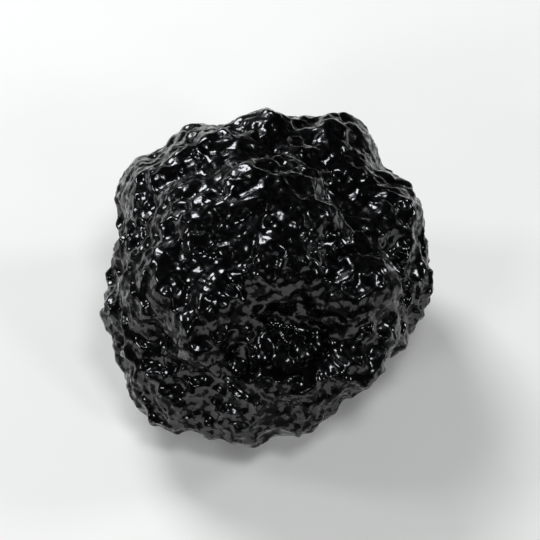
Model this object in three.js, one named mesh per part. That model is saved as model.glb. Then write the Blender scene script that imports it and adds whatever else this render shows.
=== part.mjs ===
// A tektite: one lump of black natural glass, splashed molten from the ground by a meteorite and
// frozen in flight. It is a thick rounded button, as one solid piece: lumps and hollows on its domed
// face, etched pits all over, an underside that tapers in, and a small worn flat on which it lies.
// Millimetres, +Z up. The origin is on the resting surface, below the middle of the lump.
// The front is -Y.

import * as THREE from "three";
import { ImprovedNoise } from "three/addons/math/ImprovedNoise.js";
import { mergeVertices } from "three/addons/utils/BufferGeometryUtils.js";

// Driving dimensions of the whole lump, and how high its widest line lies.
const WIDTH = 15.5;
const DEPTH = 16.0;
const HEIGHT = 11.8;
const BELLY_HEIGHT = 3.6;

// How square the button is in plan, and from the side above and below its widest line. 2 would be an
// ellipse.
const PLAN_SQUARENESS = 2.3;
const FACE_SQUARENESS = 2.3;
const UNDERSIDE_SQUARENESS = 1.5;

// How much of the lowest point is worn away to make the flat.
const FOOT_WEAR = 0.7;

// Each edge of the icosahedron that carries the surface is split into this many lengths, plus one.
const SURFACE_SPLITS = 20;

// Broad forms of the outline. Bearing is in degrees round +Z, from the front towards the right (+X),
// and climb is in degrees above the widest line, both seen from the lump's axis at that height. Reach is
// how far a form spreads over the surface, and rise is how far it stands out, or how far it is cut back
// where it is negative.
const SHOULDERS = [
  { bearing: -132, climb: 23, reach: 2.8, rise: 0.85 }, // back left corner
  { bearing: -152, climb: 29, reach: 3.0, rise: 0.75 }, // back left edge
  { bearing: -178, climb: 38, reach: 2.6, rise: 0.4 }, // back knob
  { bearing: 152, climb: 34, reach: 2.8, rise: 0.9 }, // back right knob
  { bearing: 128, climb: 20, reach: 3.8, rise: 0.8 }, // back right edge
  { bearing: 100, climb: 6, reach: 2.8, rise: 0.45 }, // right edge
  { bearing: 70, climb: -3, reach: 4.0, rise: -0.4 }, // right flank, cut under
  { bearing: 44, climb: -4, reach: 3.6, rise: -1.05 }, // front right flat
  { bearing: 52, climb: -3, reach: 1.6, rise: -0.5 }, // nick in the front right edge
  { bearing: 28, climb: -6, reach: 2.8, rise: -0.7 }, // front right undercut
  { bearing: -27, climb: -10, reach: 3.0, rise: 0.75 }, // front left corner
  { bearing: -4, climb: -8, reach: 2.8, rise: 0.4 }, // front edge
  { bearing: -62, climb: -5, reach: 3.4, rise: -0.4 }, // left flat
  { bearing: -114, climb: 13, reach: 2.4, rise: -0.8 }, // left flat, back end
];

// Rounded lumps, which meet in creases.
const LUMPS = [
  { bearing: 0, climb: 84, reach: 3.4, rise: 1.1 }, // crown
  { bearing: 9, climb: 61, reach: 2.2, rise: 1.15 }, // crown, front end
  { bearing: 50, climb: 69, reach: 2.2, rise: 0.9 }, // crown, right end
  { bearing: -70, climb: 68, reach: 2.4, rise: 0.8 }, // crown, left end
  { bearing: -24, climb: 40, reach: 2.4, rise: 1.15 }, // face, left
  { bearing: 47, climb: 46, reach: 2.4, rise: 1.1 }, // face, right
  { bearing: 6, climb: 22, reach: 2.2, rise: 0.95 }, // face, front
  { bearing: 37, climb: 22, reach: 1.9, rise: 0.85 }, // front right
  { bearing: 18, climb: 3, reach: 2.0, rise: 0.7 }, // front right, low
  { bearing: -10, climb: 0, reach: 2.2, rise: 0.7 }, // front, low
  { bearing: -36, climb: 4, reach: 2.6, rise: 0.7 }, // front left
  { bearing: -58, climb: 15, reach: 2.4, rise: 0.6 }, // left flank
  { bearing: -55, climb: 42, reach: 2.1, rise: 0.9 }, // left
  { bearing: -118, climb: 42, reach: 2.6, rise: 0.85 }, // back left
  { bearing: -144, climb: 54, reach: 2.4, rise: 0.85 }, // back
  { bearing: 175, climb: 46, reach: 2.1, rise: 0.85 }, // back knob
  { bearing: 149, climb: 42, reach: 2.4, rise: 0.85 }, // back right knob
  { bearing: 103, climb: 39, reach: 2.6, rise: 0.8 }, // right rim
  { bearing: 80, climb: 21, reach: 2.4, rise: 0.5 }, // right rim, front end
];

// Hollows and grooves between the lumps.
const HOLLOWS = [
  { bearing: 6, climb: 42, reach: 2.9, depth: 1.3 }, // deep hollow in the middle of the face
  { bearing: 22, climb: 33, reach: 1.7, depth: 0.7 }, // its right end
  { bearing: -12, climb: 29, reach: 1.5, depth: 0.7 }, // its left end, above the front lump
  { bearing: 100, climb: 58, reach: 2.1, depth: 0.7 }, // groove inside the right rim
  { bearing: 54, climb: 59, reach: 1.8, depth: 0.7 }, // the same groove, front end
  { bearing: 68, climb: 32, reach: 1.2, depth: 0.6 }, // groove below the right rim
  { bearing: -40, climb: 25, reach: 1.5, depth: 0.55 }, // groove above the front left
];

// Knobbly relief all over, as rounded swellings with creases between them, in a coarse and a fine size.
const KNOBS = [
  { size: 2.6, rise: 0.7 },
  { size: 1.3, rise: 0.35 },
];
const KNOB_LEVEL = 0.25; // the share of a swelling that lies below the plain surface

// Etched pits all over the surface, which meet in sharp crests.
const PIT_COUNT = 360;
const PIT_REACH = { least: 0.7, most: 1.5 };
const PIT_DEPTH = 0.34; // for each millimetre of a pit's reach
const PIT_SCATTER = 0.55; // how far a pit is moved off its place on the spiral, in pit spacings
const PIT_SEED = 11;

const MEAN_RADIUS = (WIDTH + DEPTH + HEIGHT) / 6;
const GLASS = new THREE.MeshStandardMaterial({ color: 0x0d0d0f, roughness: 0.2, metalness: 0 });

const noise = new ImprovedNoise();

// The unit vector from the middle of the lump towards a bearing and climb.
function towards({ bearing, climb }) {
  const turn = THREE.MathUtils.degToRad(bearing);
  const lift = THREE.MathUtils.degToRad(climb);
  const level = Math.cos(lift);
  return new THREE.Vector3(Math.sin(turn) * level, -Math.cos(turn) * level, Math.sin(lift));
}

// A form's share at a direction: 1 at its middle, 0 at its reach.
function nearness(direction, form) {
  const away = (direction.angleTo(form.towards) * MEAN_RADIUS) / form.reach;
  return Math.max(0, 1 - away * away);
}

const located = (forms) => forms.map((form) => ({ ...form, towards: towards(form) }));

const shoulders = located(SHOULDERS);
const lumps = located(LUMPS);
const hollows = located(HOLLOWS);
const pits = scatterPits();

// Pits are spread on a spiral round the lump, and each is then moved off its place a little.
function scatterPits() {
  const { lerp, radToDeg, seededRandom } = THREE.MathUtils;
  const goldenTurn = 180 * (3 - Math.sqrt(5));
  const spacing = radToDeg(Math.sqrt((4 * Math.PI) / PIT_COUNT));
  const astray = () => (seededRandom() * 2 - 1) * PIT_SCATTER * spacing;
  seededRandom(PIT_SEED);
  return Array.from({ length: PIT_COUNT }, (_, place) => {
    const height = 1 - (2 * place + 1) / PIT_COUNT;
    const reach = lerp(PIT_REACH.least, PIT_REACH.most, seededRandom() ** 2);
    const bearing = place * goldenTurn + astray() / Math.sqrt(1 - height * height);
    const climb = radToDeg(Math.asin(height)) + astray();
    return { reach, depth: reach * PIT_DEPTH, towards: towards({ bearing, climb }) };
  });
}

// The plain button: its radius in a direction.
function buttonRadius({ x, y, z }) {
  const wide = Math.abs((2 * x) / WIDTH) ** PLAN_SQUARENESS;
  const deep = Math.abs((2 * y) / DEPTH) ** PLAN_SQUARENESS;
  const squareness = z > 0 ? FACE_SQUARENESS : UNDERSIDE_SQUARENESS;
  const high = Math.abs(z / (z > 0 ? HEIGHT - BELLY_HEIGHT : BELLY_HEIGHT)) ** squareness;
  return ((wide + deep) ** (squareness / PLAN_SQUARENESS) + high) ** (-1 / squareness);
}

// How far the knobbly relief stands out at a point.
function knobRise(point) {
  return KNOBS.reduce((sum, { size, rise }) => {
    const { x, y, z } = point.clone().divideScalar(size);
    return sum + rise * (Math.abs(noise.noise(x, y, z)) - KNOB_LEVEL);
  }, 0);
}

// The finished surface: the radius in a direction.
function stoneRadius(direction) {
  const button = buttonRadius(direction);
  const outline = shoulders.reduce((sum, form) => sum + form.rise * nearness(direction, form) ** 2, 0);
  const lump = Math.max(...lumps.map((form) => form.rise * nearness(direction, form)));
  const hollow = hollows.reduce((sum, form) => sum + form.depth * nearness(direction, form) ** 2, 0);
  const pit = Math.max(...pits.map((form) => form.depth * nearness(direction, form)));
  const knobs = knobRise(direction.clone().multiplyScalar(button));
  return button + outline + lump - hollow - pit + knobs;
}

// Wears the lowest part flat, brings the lump to its driving dimensions and stands it on the origin.
function settle(geometry) {
  const position = geometry.getAttribute("position");
  geometry.computeBoundingBox();
  const floor = geometry.boundingBox.min.z + FOOT_WEAR;
  for (let i = 0; i < position.count; i += 1) {
    position.setZ(i, Math.max(position.getZ(i), floor));
  }
  geometry.computeBoundingBox();
  const size = geometry.boundingBox.getSize(new THREE.Vector3());
  geometry.scale(WIDTH / size.x, DEPTH / size.y, HEIGHT / size.z);
  geometry.computeBoundingBox();
  const middle = geometry.boundingBox.getCenter(new THREE.Vector3());
  geometry.translate(-middle.x, -middle.y, -geometry.boundingBox.min.z);
}

function makeTektite() {
  const ball = new THREE.IcosahedronGeometry(1, SURFACE_SPLITS);
  ball.deleteAttribute("normal");
  ball.deleteAttribute("uv");
  const geometry = mergeVertices(ball);
  const position = geometry.getAttribute("position");
  const direction = new THREE.Vector3();
  for (let i = 0; i < position.count; i += 1) {
    direction.fromBufferAttribute(position, i).normalize();
    const point = direction.clone().multiplyScalar(stoneRadius(direction));
    position.setXYZ(i, point.x, point.y, point.z);
  }
  settle(geometry);
  geometry.computeVertexNormals();
  const tektite = new THREE.Mesh(geometry, GLASS);
  tektite.name = "tektite";
  return tektite;
}

const part = new THREE.Group();
part.add(makeTektite());

export default part;
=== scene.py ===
import math

import bpy
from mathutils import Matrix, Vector


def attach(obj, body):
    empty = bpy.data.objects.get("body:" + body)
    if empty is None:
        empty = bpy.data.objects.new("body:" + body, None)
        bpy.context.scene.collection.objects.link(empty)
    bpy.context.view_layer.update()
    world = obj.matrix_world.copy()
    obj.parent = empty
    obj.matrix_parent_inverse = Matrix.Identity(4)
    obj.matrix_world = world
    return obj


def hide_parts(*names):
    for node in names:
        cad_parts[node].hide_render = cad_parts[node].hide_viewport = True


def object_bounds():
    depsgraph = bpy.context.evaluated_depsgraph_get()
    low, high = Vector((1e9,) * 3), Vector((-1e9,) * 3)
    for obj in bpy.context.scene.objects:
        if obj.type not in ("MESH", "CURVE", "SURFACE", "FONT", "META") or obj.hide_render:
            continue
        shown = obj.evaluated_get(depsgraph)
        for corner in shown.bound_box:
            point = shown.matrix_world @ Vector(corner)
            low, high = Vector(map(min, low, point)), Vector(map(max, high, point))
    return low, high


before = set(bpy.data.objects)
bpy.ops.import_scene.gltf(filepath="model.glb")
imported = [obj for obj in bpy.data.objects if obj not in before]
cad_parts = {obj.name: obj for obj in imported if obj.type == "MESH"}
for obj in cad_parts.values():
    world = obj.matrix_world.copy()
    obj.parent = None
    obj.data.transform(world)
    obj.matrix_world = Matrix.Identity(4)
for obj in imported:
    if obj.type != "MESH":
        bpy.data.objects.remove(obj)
cad_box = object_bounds()

# The tektite: one lump of black natural glass, thrown up molten by a meteorite and frozen in flight.
# Long burial has etched its skin: crooked pits crowd all over it and meet in crests, small holes
# roughen its flank, and the low edge and the foot on which it lies are worn smoother.
MM = 0.001
WELD = 0.001 * MM
SKIN_CUTS = 3  # new vertices along each edge of the solid

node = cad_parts["tektite"]
stone = bpy.data.objects.new("etched_stone", node.data.copy())
bpy.context.scene.collection.objects.link(stone)
bpy.ops.object.select_all(action="DESELECT")
stone.select_set(True)
bpy.context.view_layer.objects.active = stone
bpy.ops.object.mode_set(mode="EDIT")
bpy.ops.mesh.select_all(action="SELECT")
bpy.ops.mesh.remove_doubles(threshold=WELD)
bpy.ops.mesh.subdivide(number_cuts=SKIN_CUTS)
bpy.ops.object.mode_set(mode="OBJECT")
bpy.ops.object.shade_smooth()

# Each pair is a height where the skin is left alone, and one where it is fully etched, holed or worn.
ETCHED = (0.15 * MM, 1.2 * MM)
HOLED = (9.5 * MM, 6.0 * MM)
WORN = (4.5 * MM, 3.0 * MM)
PITS_WORN_AWAY = 0.55  # the share of their depth that the pits lose where the skin is fully worn


def share(height, slope):
    """0 at the slope's first height, 1 at its second, and in between on a straight line."""
    start, end = slope
    return min(1.0, max(0.0, (height - start) / (end - start)))


etched = stone.vertex_groups.new(name="etched")
holed = stone.vertex_groups.new(name="holed")
worn = stone.vertex_groups.new(name="worn")
for vertex in stone.data.vertices:
    height = vertex.co.z
    above_foot = share(height, ETCHED)
    wear = share(height, WORN)
    etched.add([vertex.index], above_foot * (1 - PITS_WORN_AWAY * wear), "REPLACE")
    holed.add([vertex.index], above_foot * share(height, HOLED), "REPLACE")
    worn.add([vertex.index], wear, "REPLACE")


def smooth(name, steps, where=""):
    """Evens out the skin in small steps, all over or only in that vertex group."""
    smoothing = stone.modifiers.new(name, "SMOOTH")
    smoothing.factor = 1.0  # each step takes a point half way to the mean of its neighbours
    smoothing.iterations = steps
    smoothing.vertex_group = where
    bpy.ops.object.modifier_apply(modifier=name)


CROOKED = 0.35  # how far a pit strays from round, in spacings
WALL = 0.6  # where the middle point of a pit's curved wall is, as a share of its rim


def etch(name, where, spacing, depth, rim):
    """Sinks crooked bowls into the skin, a spacing apart. Rim is a bowl's radius, in spacings."""
    bowls = bpy.data.textures.new(name, "DISTORTED_NOISE")
    bowls.noise_scale = spacing
    bowls.noise_basis = "VORONOI_F1"
    bowls.noise_distortion = "IMPROVED_PERLIN"
    bowls.distortion = CROOKED
    bowls.contrast = 0.5  # with the next line, brings the texture from -1..1 to 0..1
    bowls.intensity = 1.25
    bowls.use_color_ramp = True
    bowls.color_ramp.interpolation = "LINEAR"
    bottom, edge = bowls.color_ramp.elements
    bottom.position = 0.0
    bottom.color = (0, 0, 0, 1)
    edge.position = rim
    edge.color = (1, 1, 1, 1)
    wall = bowls.color_ramp.elements.new(WALL * rim)
    wall.color = (WALL ** 2, WALL ** 2, WALL ** 2, 1)
    sink = stone.modifiers.new(name, "DISPLACE")
    sink.texture = bowls
    sink.texture_coords = "LOCAL"
    sink.strength = depth
    sink.mid_level = 1.0
    sink.vertex_group = where
    bpy.ops.object.modifier_apply(modifier=name)


def swell(name, where, rise):
    """Raises the skin by that much, so that the pits take it down to its true size and no further."""
    lift = stone.modifiers.new(name, "DISPLACE")
    lift.strength = rise
    lift.mid_level = 0.0
    lift.vertex_group = where
    bpy.ops.object.modifier_apply(modifier=name)


smooth("skin", steps=20)
smooth("low_edge", steps=40, where="worn")
swell("whole_skin", "etched", rise=0.15 * MM)
swell("flank_skin", "holed", rise=0.15 * MM)
etch("pits", "etched", spacing=1.4 * MM, depth=0.32 * MM, rim=0.52)
etch("small_pits", "etched", spacing=0.75 * MM, depth=0.24 * MM, rim=0.52)
etch("holes", "holed", spacing=0.7 * MM, depth=0.42 * MM, rim=0.75)
smooth("crests", steps=5)
etch("pricks", "etched", spacing=0.42 * MM, depth=0.09 * MM, rim=0.6)


class Shade:
    """One socket of a material's nodes. A sum written with it adds the Math nodes for that sum."""

    def __init__(self, tree, socket=None):
        self.tree = tree
        self.socket = socket

    def node(self, kind, settings, sockets, output=0):
        made = self.tree.nodes.new(kind)
        for name, value in settings.items():
            setattr(made, name, value)
        for name, value in sockets.items():
            if isinstance(value, Shade):
                self.tree.links.new(value.socket, made.inputs[name])
            else:
                made.inputs[name].default_value = value
        return Shade(self.tree, made.outputs[output])

    def math(self, operation, first, second):
        return self.node("ShaderNodeMath", {"operation": operation}, {0: first, 1: second})

    def __add__(self, other):
        return self.math("ADD", self, other)

    __radd__ = __add__

    def __mul__(self, other):
        return self.math("MULTIPLY", self, other)

    __rmul__ = __mul__

    def feed(self, socket):
        self.tree.links.new(self.socket, socket)


def new_material(name):
    """A material, its shader, and the place on the piece that its patterns read."""
    material = bpy.data.materials.new(name)
    material.use_nodes = True
    tree = material.node_tree
    place = Shade(tree).node("ShaderNodeTexCoord", {}, {}, "Object")
    return material, tree.nodes["Principled BSDF"], place


def grain(place, size):
    """Cloudy noise, from 0 to 1, with patches of that size."""
    return place.node("ShaderNodeTexNoise", {}, {"Vector": place, "Scale": 1 / size}, "Fac")


def cells(place, size):
    """Distance from the middle of each cell of that size."""
    return place.node("ShaderNodeTexVoronoi", {}, {"Vector": place, "Scale": 1 / size}, "Distance")


def mottle(place, size, first, second):
    """Patches of that size that go from one colour to the other."""
    colours = {"Factor": grain(place, size), "A": first, "B": second}
    return place.node("ShaderNodeMix", {"data_type": "RGBA"}, colours, "Result")


# The skin is dull and frosted, with bright flecks all over where the glass itself shows.
BLACK = (0.0004, 0.0004, 0.0005, 1.0)
GREY = (0.001, 0.001, 0.0011, 1.0)
LEAST_ROUGH = 0.2
ROUGHER = 0.18
TINT_PATCH = 1.6 * MM
ROUGH_PATCH = 0.7 * MM
FROST_CELL = 0.26 * MM
FROST_RELIEF = 0.01 * MM
FLECK = 0.35 * MM
FLECK_EDGE = (0.44, 0.56)  # levels of the grain: dull below the first, bright above the second

glass, shader, place = new_material("tektite_glass")
mottle(place, TINT_PATCH, BLACK, GREY).feed(shader.inputs["Base Color"])
roughness = LEAST_ROUGH + ROUGHER * grain(place, ROUGH_PATCH)
roughness.feed(shader.inputs["Roughness"])
dull, bright = FLECK_EDGE
levels = {"Value": grain(place, FLECK), "From Min": dull, "From Max": bright}
flecks = place.node("ShaderNodeMapRange", {"interpolation_type": "SMOOTHSTEP"}, levels, "Result")
flecks.feed(shader.inputs["Coat Weight"])
frost = cells(place, FROST_CELL)
relief = {"Distance": FROST_RELIEF, "Height": frost * frost}
place.node("ShaderNodeBump", {}, relief, "Normal").feed(shader.inputs["Normal"])
shader.inputs["Specular IOR Level"].default_value = 0.07
shader.inputs["Coat IOR"].default_value = 1.53
shader.inputs["Coat Roughness"].default_value = 0.11

stone.data.materials.clear()
stone.data.materials.append(glass)
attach(stone, "root")
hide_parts("tektite")

# The floor: a wide sheet of pale matt card, on which the stone lies.
# It has faint cloudy patches, as pressed paper has.
FLOOR_SIZE = 2.0
PALE = (0.885, 0.87, 0.82, 1.0)
PALER = (0.925, 0.91, 0.86, 1.0)
CARD_PATCH = 6 * MM
CARD_ROUGHNESS = 0.9
bpy.ops.object.select_all(action="DESELECT")
bpy.ops.mesh.primitive_plane_add(size=FLOOR_SIZE)
floor = bpy.context.object
floor.name = "floor"
card, shader, place = new_material("pale_card")
mottle(place, CARD_PATCH, PALE, PALER).feed(shader.inputs["Base Color"])
shader.inputs["Roughness"].default_value = CARD_ROUGHNESS
floor.data.materials.append(card)

# The light: a dim pale room, a wide soft lamp high behind the left of the stone, and five smaller
# lamps round it, whose images in the glass are its glints.
ROOM = (0.80, 0.83, 0.87, 1.0)
ROOM_STRENGTH = 0.025
room = bpy.data.worlds.new("room")
bpy.context.scene.world = room
room.use_nodes = True
room.node_tree.nodes["Background"].inputs["Color"].default_value = ROOM
room.node_tree.nodes["Background"].inputs["Strength"].default_value = ROOM_STRENGTH

LAMP_COLOUR = (0.97, 1.0, 1.05)
LAMP_DISTANCE = 0.2
middle = (cad_box[0] + cad_box[1]) / 2


def lamp(name, direction, width, radiance):
    """A square lamp that faces the stone from that direction. Width is its angle there, in radians."""
    light = bpy.data.lights.new(name, "AREA")
    light.color = LAMP_COLOUR
    light.size = width * LAMP_DISTANCE
    light.energy = radiance * math.pi * light.size ** 2
    holder = bpy.data.objects.new(name, light)
    holder.location = middle + Vector(direction).normalized() * LAMP_DISTANCE
    holder.rotation_euler = (middle - holder.location).to_track_quat("-Z", "Y").to_euler()
    bpy.context.scene.collection.objects.link(holder)


lamp("soft_box", (-0.4, 0.65, 0.65), width=0.39, radiance=15.0)
lamp("left_lamp", (-0.9, 0.1, 0.45), width=0.215, radiance=15.7)
lamp("right_lamp", (0.9, 0.2, 0.45), width=0.215, radiance=15.7)
lamp("top_lamp", (0.15, -0.35, 0.92), width=0.215, radiance=17.0)
lamp("front_lamp", (-0.5, -0.75, 0.5), width=0.18, radiance=17.0)
lamp("front_right_lamp", (0.6, -0.6, 0.55), width=0.16, radiance=15.2)

# The camera: a long lens, looking down on the stone's front.
# Its picture is about 1.6 times as wide as the stone.
LOOKING_DOWN = math.radians(49.5)
CAMERA_DISTANCE = 0.132
FRAME_WIDTH = 0.0250  # across the picture, at the stone
NEAREST_SEEN = 0.01
camera = bpy.data.objects.new("camera", bpy.data.cameras.new("camera"))
bpy.context.scene.collection.objects.link(camera)
back = Vector((0, -math.cos(LOOKING_DOWN), math.sin(LOOKING_DOWN)))
camera.location = middle + back * CAMERA_DISTANCE
camera.rotation_euler = (-back).to_track_quat("-Z", "Y").to_euler()
camera.data.lens = camera.data.sensor_width * CAMERA_DISTANCE / FRAME_WIDTH
camera.data.clip_start = NEAREST_SEEN
bpy.context.scene.camera = camera
bpy.context.scene.view_settings.view_transform = "Standard"
